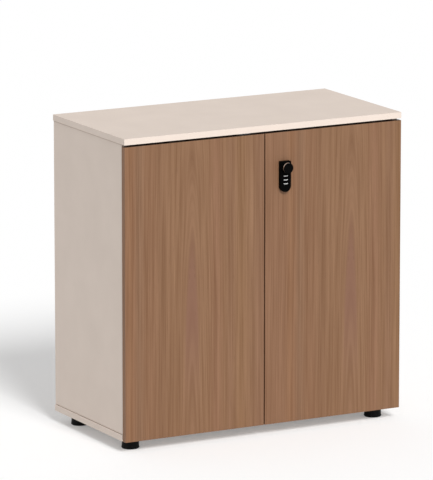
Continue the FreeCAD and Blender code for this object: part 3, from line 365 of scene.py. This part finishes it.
def striped_wood(tree, cut, rings):
    """Broad stripes by their place across the print, under the veil of the year rings."""
    bands = streaks(tree, cut, BAND_WIDTH, BAND_LENGTH, 2.0)
    along = add(tree, "MapRange", {"Value": cut[0], "From Min": -STRIPE_SPAN, "From Max": STRIPE_SPAN})
    stops = [(0.5 + mm * MM / STRIPE_SPAN / 2, tone) for mm, tone in STRIPES]
    stripe = add(tree, "ValToRGB", {0: along}, stops)
    veil_tone = add(tree, "Mix", {0: RING_SHARE, 2: bands, 3: rings})
    veil = add(tree, "ValToRGB", {0: veil_tone}, [(0.3, "#C8BAA8"), (0.7, "#FFFFFF")])
    wood = add(tree, "Mix", {0: 1.0, 6: stripe, 7: veil}, data_type="RGBA", blend_type="MULTIPLY")
    return wood.outputs[2]


def tinted_heart(tree, cut, wood):
    """The heart of the flame: greyer and redder than the wood round it, and fading out downwards."""
    inside = add(tree, "Math", {0: TIP_RING, 1: cut[1]}, operation="SUBTRACT")
    low, high = HEART_EDGE
    wedge = add(tree, "MapRange", {"Value": inside, "From Min": low, "From Max": high, "To Max": 0.75})
    low, high = HEART_FADE
    fading = add(tree, "MapRange", {"Value": cut[2], "From Min": low, "From Max": high})
    heart = add(tree, "Math", {0: wedge, 1: fading}, operation="MULTIPLY")
    return add(tree, "Mix", {0: heart, 6: wood, 7: linear("#795645")}, data_type="RGBA").outputs[2]


print(len(STRIPES), "stripes across", round(2 * STRIPE_SPAN / MM), "mm of print")

# %% [markdown]
# ## Walnut laminate: the two doors
# The print lies under a matt lacquer with a little relief in the pores, so the doors have a soft, uneven
# sheen. Only the place of the flame differs between the doors. The doors' top edges are painted dark as
# painted shade for the gap under the top board, which makes that gap a dark line; they are found by their
# upward normal.

# %% The two doors
PORE_RELIEF = 0.06 * MM
FLAMES = {"left": -209 * MM, "right": 253 * MM}


def walnut_laminate(name, flame_x):
    """Printed walnut under a matt lacquer: stripes, arched rings, a tinted flame, short dark pores and painted
    shade on the top edges.
    """
    made = empty_material("walnut_laminate_matt_" + name)
    tree = made.node_tree
    cut = log_cut(tree, flame_x)
    rings = streaks(tree, cut, RING_WIDTH, RING_LENGTH, 3.0)
    pores = streaks(tree, cut, PORE_WIDTH, PORE_LENGTH, 1.0)
    flamed = tinted_heart(tree, cut, striped_wood(tree, cut, rings))
    pore = add(tree, "MapRange", {"Value": pores, "From Min": 0.66, "From Max": 0.74, "To Max": 0.3})
    pored = add(tree, "Mix", {0: pore, 6: flamed, 7: linear("#614433")}, data_type="RGBA").outputs[2]
    # Painted shade: faces that point up, the doors' top edges, are darkened to stand in for the shade in the
    # gap.
    upward = add(tree, "SeparateXYZ", {0: add(tree, "NewGeometry").outputs["Normal"]}).outputs["Z"]
    painted_gap_shade = add(tree, "MapRange", {"Value": upward, "From Min": 0.5, "From Max": 0.8})
    gap_shaded = add(tree, "Mix", {0: painted_gap_shade, 6: pored, 7: linear("#3A281D")}, data_type="RGBA").outputs[2]
    relief = add(tree, "Bump", {"Height": pores, "Strength": 0.2, "Distance": PORE_RELIEF}, invert=True)
    gloss = add(tree, "MapRange", {
        "Value": rings, "From Min": 0.3, "From Max": 0.7, "To Min": 0.44, "To Max": 0.56,
    })
    skin = add(tree, "BsdfPrincipled", {
        "Base Color": gap_shaded, "Roughness": gloss, "IOR": 1.48, "Specular IOR Level": 0.3, "Normal": relief,
    })
    add(tree, "OutputMaterial", {"Surface": skin})
    return made


for side, flame_x in FLAMES.items():
    dress(walnut_laminate(side, flame_x), [side + "_door_panel"])

# %% [markdown]
# ## Black lock plate and feet
# The lock's plate is cast zinc under black powder paint, and the feet are moulded black plastic with the fine
# spark texture of their mould. Both are near black, and what tells them apart is gloss: the paint is deep and
# even, and the plastic catches more light. They could be two plain colours, but a fine grain in colour, gloss
# and relief keeps them from looking flat, and one function makes it for both. Under white surroundings a
# black surface reflects a lot of white, so the reflection is kept low.

# %% Black lock plate and feet
POWDER_GRAIN = 0.6 * MM
MOULD_GRAIN = 0.8 * MM
GRAIN_RELIEF = 0.05 * MM
GLOSS_SPREAD = 0.06


def black_finish(name, tones, grain, gloss, reflection):
    """A black skin with a fine grain: colour and gloss vary a little from grain to grain."""
    made = empty_material(name)
    tree = made.node_tree
    place = add(tree, "TexCoord").outputs["Object"]
    grit = add(tree, "TexNoise", {"Vector": place, "Scale": 1 / grain, "Detail": 2.0})
    tone = add(tree, "ValToRGB", {0: grit}, [(0.35, tones[0]), (0.65, tones[1])])
    relief = add(tree, "Bump", {"Height": grit, "Strength": 0.3, "Distance": GRAIN_RELIEF})
    low, high = gloss - GLOSS_SPREAD, gloss + GLOSS_SPREAD
    dull = add(tree, "MapRange", {"Value": grit, "To Min": low, "To Max": high})
    skin = add(tree, "BsdfPrincipled", {
        "Base Color": tone, "Roughness": dull, "Specular IOR Level": reflection, "Normal": relief,
    })
    add(tree, "OutputMaterial", {"Surface": skin})
    return made


powder = black_finish("zinc_casting_black_powder_paint", ("#020202", "#060606"), POWDER_GRAIN, 0.45, 0.02)
moulded = black_finish("polypropylene_black_moulded", ("#040405", "#0A0A0B"), MOULD_GRAIN, 0.55, 0.10)
dress(powder, ["lock_housing"])
dress(moulded, by_slot["black_polymer"])

# %% [markdown]
# ## Knob with a bare band
# The knob has the same black paint, but behind its front edge the paint is turned off, which leaves a satin
# band of bare zinc. The band could be a ring of its own, but it is the same piece of metal, so a mask by
# radius and depth puts it there. Its colour is painted by which way it faces: where it faces down it is dark,
# a painted reflection of the black plate, and where it faces up near white, a painted highlight.

# %% Knob with a bare band
KNOB_BAND = (1.3 * MM, 5.0 * MM)
KNOB_BAND_FROM_SKIRT = 1.5 * MM


def bare_band(tree, place):
    """One on the knob's rim between its front edge and its skirt, zero elsewhere."""
    low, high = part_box("lock_knob")
    rim = (high.x - low.x) / 2 - KNOB_BAND_FROM_SKIRT
    face = ((low.x + high.x) / 2, low.y, (low.z + high.z) / 2)
    offset = add(tree, "VectorMath", {0: place, 1: face}, operation="SUBTRACT")
    sideways = add(tree, "VectorMath", {0: offset, 1: (1, 0, 1)}, operation="MULTIPLY")
    radius = add(tree, "VectorMath", {0: sideways}, operation="LENGTH").outputs["Value"]
    behind = add(tree, "SeparateXYZ", {0: offset}).outputs["Y"]
    on_rim = add(tree, "Math", {0: radius, 1: rim}, operation="GREATER_THAN")
    past_edge = add(tree, "Math", {0: behind, 1: KNOB_BAND[0]}, operation="GREATER_THAN")
    before_skirt = add(tree, "Math", {0: behind, 1: KNOB_BAND[1]}, operation="LESS_THAN")
    between = add(tree, "Math", {0: past_edge, 1: before_skirt}, operation="MULTIPLY")
    return add(tree, "Math", {0: on_rim, 1: between}, operation="MULTIPLY")


def painted_knob():
    """Black paint with a fine grain, and a turned band of bare zinc with a painted highlight on its upper side
    and a painted reflection below.
    """
    made = empty_material("zinc_casting_black_paint_turned_band_painted_highlight")
    tree = made.node_tree
    place = add(tree, "TexCoord").outputs["Object"]
    band = bare_band(tree, place)
    grit = add(tree, "TexNoise", {"Vector": place, "Scale": 1 / POWDER_GRAIN, "Detail": 2.0})
    paint = add(tree, "ValToRGB", {0: grit}, [(0.35, "#020202"), (0.65, "#060606")])
    # Painted highlight and reflection: the band's colour runs from dark facing down to near white facing up.
    facing = add(tree, "SeparateXYZ", {0: add(tree, "NewGeometry").outputs["Normal"]}).outputs["Z"]
    upward = add(tree, "MapRange", {"Value": facing, "From Min": -1.0, "From Max": 1.0})
    zinc = add(tree, "ValToRGB", {0: upward}, [(0.1, "#33312F"), (0.5, "#94908C"), (0.8, "#F6F0EA")])
    tone = add(tree, "Mix", {0: band, 6: paint, 7: zinc}, data_type="RGBA").outputs[2]
    relief = add(tree, "Bump", {"Height": grit, "Strength": 0.3, "Distance": GRAIN_RELIEF})
    skin = add(tree, "BsdfPrincipled", {
        "Base Color": tone, "Metallic": band, "Roughness": 0.5, "Specular IOR Level": 0.03, "Normal": relief,
    })
    add(tree, "OutputMaterial", {"Surface": skin})
    return made


dress(painted_knob(), ["lock_knob"])

# %% [markdown]
# ## Plated steel
# Hinges and shelf pins are pressed steel with a bright nickel plate, and screws, cams, bolts and brackets are
# zinc plated. A metal's colour is its reflection, so both are fully metallic. Nickel is a little warm and
# smooth, and zinc is bluish and duller, with the cloudy patches that the plating bath leaves. A brushed look
# would need a direction for each piece, and plating hides most of it, so faint scratches do.

# %% Plated steel
NICKEL_CLOUD = 12 * MM
ZINC_CLOUD = 8 * MM
SCRATCH_WIDTH = 0.5 * MM
SCRATCH_STRETCH = 0.06
SCRATCH_RELIEF = 0.02 * MM
SCRATCH_SPREAD = 0.07


def plated_steel(name, tones, cloud, gloss):
    """A plated metal: clouds in its colour, and fine rolling scratches that spread its reflection."""
    made = empty_material(name)
    tree = made.node_tree
    place = add(tree, "TexCoord").outputs["Object"]
    patch = add(tree, "TexNoise", {"Vector": place, "Scale": 1 / cloud, "Detail": 3.0})
    tone = add(tree, "ValToRGB", {0: patch}, [(0.3, tones[0]), (0.7, tones[1])])
    long_way = add(tree, "Mapping", {"Vector": place, "Scale": (1.0, SCRATCH_STRETCH, 1.0)})
    scratch = add(tree, "TexNoise", {"Vector": long_way, "Scale": 1 / SCRATCH_WIDTH, "Detail": 1.0})
    relief = add(tree, "Bump", {"Height": scratch, "Strength": 0.08, "Distance": SCRATCH_RELIEF})
    low, high = gloss - SCRATCH_SPREAD, gloss + SCRATCH_SPREAD
    dull = add(tree, "MapRange", {"Value": scratch, "To Min": low, "To Max": high})
    skin = add(tree, "BsdfPrincipled", {
        "Base Color": tone, "Metallic": 1.0, "Roughness": dull, "Normal": relief,
    })
    add(tree, "OutputMaterial", {"Surface": skin})
    return made


nickel = plated_steel("steel_nickel_plated_pressed", ("#BDB7AE", "#CFCAC2"), NICKEL_CLOUD, 0.26)
zinc = plated_steel("steel_zinc_plated_passivated", ("#AEB3B8", "#C6C9CB"), ZINC_CLOUD, 0.36)
dress(nickel, by_slot["nickel_steel"])
dress(zinc, by_slot["zinc_steel"])

# %% [markdown]
# ## Number wheels
# The lock's wheels are moulded in acetal, a slightly waxy plastic, in two shots: a black wheel with a light
# grey band for the digits. The band could be a ring of its own, but the two plastics meet flush, so a mask by
# height is enough. In the plate's narrow slots only the bands show, as three pale dashes.

# %% Number wheels
DIAL_BAND = 2.0 * MM
ACETAL_FLOW = 3 * MM


def acetal_wheel(dial):
    """Black acetal with a moulded-in light grey band: a waxy skin with a faint flow pattern."""
    made = empty_material("acetal_two_colour_moulded_" + dial[-1])
    tree = made.node_tree
    low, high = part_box(dial)
    place = add(tree, "TexCoord").outputs["Object"]
    height = add(tree, "SeparateXYZ", {0: place}).outputs["Z"]
    off_middle = add(tree, "Math", {0: height, 1: (low.z + high.z) / 2}, operation="SUBTRACT")
    from_middle = add(tree, "Math", {0: off_middle}, operation="ABSOLUTE")
    on_rim = add(tree, "Math", {0: from_middle, 1: DIAL_BAND / 2}, operation="GREATER_THAN")
    flow = add(tree, "TexNoise", {"Vector": place, "Scale": 1 / ACETAL_FLOW, "Detail": 2.0})
    tone = add(tree, "ValToRGB", {0: flow}, [(0.3, "#BFBFBE"), (0.7, "#CBCBCA")])
    rimmed = add(tree, "Mix", {0: on_rim, 6: tone, 7: linear("#0A0A0B")}, data_type="RGBA").outputs[2]
    skin = add(tree, "BsdfPrincipled", {
        "Base Color": rimmed, "Roughness": 0.45, "IOR": 1.48, "Specular IOR Level": 0.2,
    })
    add(tree, "OutputMaterial", {"Surface": skin})
    return made


for dial in by_slot["dial_polymer"]:
    dress(acetal_wheel(dial), [dial])

# %% [markdown]
# ## Dowels and door bumpers
# Two small finishes are left, for pieces that show only when the cabinet is open or in parts. The dowels in
# the board joints are turned beech with a straight grain, so a noise is stretched upwards. The bumpers that
# the doors close on are clear silicone drops. Plain glass would be too clear, so part of the light is
# scattered at the surface and the gloss is uneven.

# %% Dowels and door bumpers
BEECH_FLECK = 0.7 * MM
BEECH_STRETCH = 0.08
SILICONE_HAZE = 2 * MM


def beech_turned():
    """Beech, turned and fluted: pale pinkish wood with fine upright flecks."""
    made = empty_material("beech_turned")
    tree = made.node_tree
    place = add(tree, "TexCoord").outputs["Object"]
    upright = add(tree, "Mapping", {"Vector": place, "Scale": (1.0, 1.0, BEECH_STRETCH)})
    fleck = add(tree, "TexNoise", {"Vector": upright, "Scale": 1 / BEECH_FLECK, "Detail": 3.0})
    tone = add(tree, "ValToRGB", {0: fleck}, [(0.35, "#B98E66"), (0.65, "#D3AE86")])
    skin = add(tree, "BsdfPrincipled", {"Base Color": tone, "Roughness": 0.6})
    add(tree, "OutputMaterial", {"Surface": skin})
    return made


def silicone_clear():
    """Clear silicone, cast: soft, slightly milky and see-through."""
    made = empty_material("silicone_clear_cast")
    tree = made.node_tree
    place = add(tree, "TexCoord").outputs["Object"]
    haze = add(tree, "TexNoise", {"Vector": place, "Scale": 1 / SILICONE_HAZE})
    dull = add(tree, "MapRange", {"Value": haze, "To Min": 0.18, "To Max": 0.34})
    skin = add(tree, "BsdfPrincipled", {
        "Base Color": linear("#ECECE8"), "Roughness": dull, "IOR": 1.41, "Transmission Weight": 0.7,
    })
    add(tree, "OutputMaterial", {"Surface": skin})
    return made


dress(beech_turned(), by_slot["beech_dowel"])
dress(silicone_clear(), by_slot["clear_silicone"])

# %% [markdown]
# ## Numbers on the wheels
# A number lock has the digits 0 to 9 round each wheel, one on every face between two finger grooves. They are
# printed, so they have next to no thickness. A picture of the digits would need a flat map of the wheel, and
# flat text would stand off a round wheel at its ends. So each digit is set as text and turned into a mesh
# here, and rolled round the wheel in the next cell.

# %% Ten flat digits
DIGITS = 10
DIGIT_HEIGHT = 1.6 * MM
TYPE_SIZE_SHARE = 1.35
INK_THICKNESS = 0.03 * MM


def digit_outline(digit):
    """One digit as a thin flat mesh: its vertices and faces."""
    text = bpy.data.curves.new("digit", "FONT")
    text.body = str(digit)
    text.align_x = "CENTER"
    text.align_y = "CENTER"
    text.size = DIGIT_HEIGHT * TYPE_SIZE_SHARE
    text.extrude = INK_THICKNESS
    text.resolution_u = 3
    holder = bpy.data.objects.new("digit", text)
    scene.collection.objects.link(holder)
    bpy.context.view_layer.update()
    mesh = bpy.data.meshes.new_from_object(holder)
    outline = [v.co.copy() for v in mesh.vertices], [list(p.vertices) for p in mesh.polygons]
    bpy.data.objects.remove(holder)
    bpy.data.curves.remove(text)
    bpy.data.meshes.remove(mesh)
    return outline


digits = [digit_outline(d) for d in range(DIGITS)]
print("digits with", [len(points) for points, loops in digits], "points")

# %% [markdown]
# ## Rolling the digits round a wheel
# To roll a flat digit round a wheel, its width becomes an angle and its thickness a radius, and its height
# stays. A bend modifier could do it too, but ten digits at ten angles are one short loop. The ink is matt
# black and a little worn, so the wheel's grey shows through in specks.

# %% Digits round the wheels
FRONT_ANGLE = math.radians(270)
INK_WEAR = 0.4 * MM


def printing_ink():
    """Black printing ink: matt, a little worn, with grey specks."""
    made = empty_material("ink_black_pad_printed")
    tree = made.node_tree
    place = add(tree, "TexCoord").outputs["Object"]
    wear = add(tree, "TexNoise", {"Vector": place, "Scale": 1 / INK_WEAR, "Detail": 2.0})
    tone = add(tree, "ValToRGB", {0: wear}, [(0.5, "#161617"), (0.8, "#4A4A4A")])
    skin = add(tree, "BsdfPrincipled", {"Base Color": tone, "Roughness": 0.6})
    add(tree, "OutputMaterial", {"Surface": skin})
    return made


ink = printing_ink()
for dial in by_slot["dial_polymer"]:
    low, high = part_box(dial)
    centre, radius = (low + high) / 2, (high.x - low.x) / 2
    vertices, faces = [], []
    for digit, (points, loops) in enumerate(digits):
        facing = FRONT_ANGLE + digit * math.tau / DIGITS
        first = len(vertices)
        for p in points:
            angle, reach = facing + p.x / radius, radius + p.z
            vertices.append(centre + Vector((math.cos(angle) * reach, math.sin(angle) * reach, p.y)))
        faces += [[first + i for i in loop] for loop in loops]
    mesh = bpy.data.meshes.new(dial + "_numbers")
    mesh.from_pydata(vertices, [], faces)
    mesh.materials.append(ink)
    numbers = bpy.data.objects.new(dial + "_numbers", mesh)
    scene.collection.objects.link(numbers)
    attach(numbers, dial)
    print(dial, "has", DIGITS, "digits round a wheel of", round(radius / MM, 1), "mm radius")

# %% [markdown]
# ## Finding the screw heads
# Every screw head has a cross for the driver, which the construction leaves out. A piece holds several screws
# in one mesh, so they are told apart first: points that share a face belong to one screw. The places of the
# heads could be copied from the construction by hand, but then they would be wrong after any change of size.
# Measured on the mesh they stay right: the wider end of a screw is its head.

# %% Finding the screw heads
WELD = 0.01 * MM
HEAD_BAND = 0.4 * MM
SCREW_AXES = {
    "hinge_plate_screws": 0, "hinge_arm_screws": 0, "left_cup_screws": 1, "right_cup_screws": 1,
    "lock_strike_screws": 1, "slide_bolt_screws": 1, "lock_back_screws": 1, "lock_cam_screw": 1,
    "bolt_keeper_screws": 2,
}


def screws_of(node):
    """The points of each separate screw in a CAD piece, found through the places that its faces share."""
    mesh = frame["nodes"][node].data
    places = [tuple(round(c / WELD) for c in v.co) for v in mesh.vertices]
    leader = {place: place for place in places}

    def lead(place):
        while leader[place] != place:
            leader[place] = leader[leader[place]]
            place = leader[place]
        return place

    for face in mesh.polygons:
        for corner in face.vertices:
            leader[lead(places[corner])] = lead(places[face.vertices[0]])
    screws = {}
    for place, vertex in zip(places, mesh.vertices):
        screws.setdefault(lead(place), []).append(vertex.co)
    return list(screws.values())


def head_of(points, axis):
    """Centre of a screw head's face, its radius, and the direction out of it."""
    lowest = [min(p[i] for p in points) for i in range(3)]
    highest = [max(p[i] for p in points) for i in range(3)]
    middle = Vector([(a + b) / 2 for a, b in zip(lowest, highest)])
    ends = []
    for level, way in ((lowest[axis], -1), (highest[axis], 1)):
        face = middle.copy()
        face[axis] = level
        ring = [p - face for p in points if abs(p[axis] - level) < HEAD_BAND]
        ends.append((max(offset.length for offset in ring), face, way))
    radius, face, way = max(ends, key=lambda end: end[0])
    outward = Vector((0, 0, 0))
    outward[axis] = way
    return face, radius, outward


heads = {node: [head_of(s, axis) for s in screws_of(node)] for node, axis in SCREW_AXES.items()}
print("found", sum(len(found) for found in heads.values()), "screw heads on", len(heads), "pieces")

# %% [markdown]
# ## Cutting the cross recesses
# The recess that a cross-head driver fits is a cross that gets narrower with depth. The heads could be
# modelled anew, but a Boolean modifier leaves the screws as they are and takes a tapered cross out of each.
# All crosses of a piece are one hidden cutter, which rides on the piece's body.

# %% Cutting the cross recesses
CROSS_REACH_SHARE = 0.58
CROSS_WIDTH_SHARE = 0.13
CROSS_DEPTH_SHARE = 0.5
CROSS_TAPER_SHARE = 0.6
CROSS_OVERRUN_SHARE = 0.25


def cross_outline(radius):
    """The twelve corners of a cross for a head of this radius, one quarter after the other."""
    reach, width = radius * CROSS_REACH_SHARE, radius * CROSS_WIDTH_SHARE
    quarter = [(width, width), (width, reach), (-width, reach)]
    outline = list(quarter)
    for _ in range(3):
        quarter = [(-y, x) for x, y in quarter]
        outline += quarter
    return outline


def cross_cutter(node):
    """One mesh with a tapered cross at each screw head of a piece."""
    vertices, faces = [], []
    for face, radius, outward in heads[node]:
        outline = cross_outline(radius)
        u = outward.orthogonal().normalized()
        v = outward.cross(u)
        first, count = len(vertices), len(outline)
        depth = outward * radius * CROSS_DEPTH_SHARE
        mouth, bottom = face + depth * CROSS_OVERRUN_SHARE, face - depth
        for centre, scale in ((mouth, 1.0), (bottom, CROSS_TAPER_SHARE)):
            vertices += [centre + u * a * scale + v * b * scale for a, b in outline]
        faces.append([first + i for i in range(count)])
        faces.append([first + count + i for i in reversed(range(count))])
        for i in range(count):
            j = (i + 1) % count
            faces.append([first + j, first + i, first + count + i, first + count + j])
    mesh = bpy.data.meshes.new(node + "_cross")
    mesh.from_pydata(vertices, [], faces)
    return mesh


for node in SCREW_AXES:
    cutter = bpy.data.objects.new(node + "_cross", cross_cutter(node))
    scene.collection.objects.link(cutter)
    cutter.hide_render = True
    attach(cutter, frame["nodes"][node]["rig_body"])
    recess = frame["nodes"][node].modifiers.new("cross_recess", "BOOLEAN")
    recess.operation = "DIFFERENCE"
    recess.object = cutter
    print(node, "gets", len(heads[node]), "cross recesses")
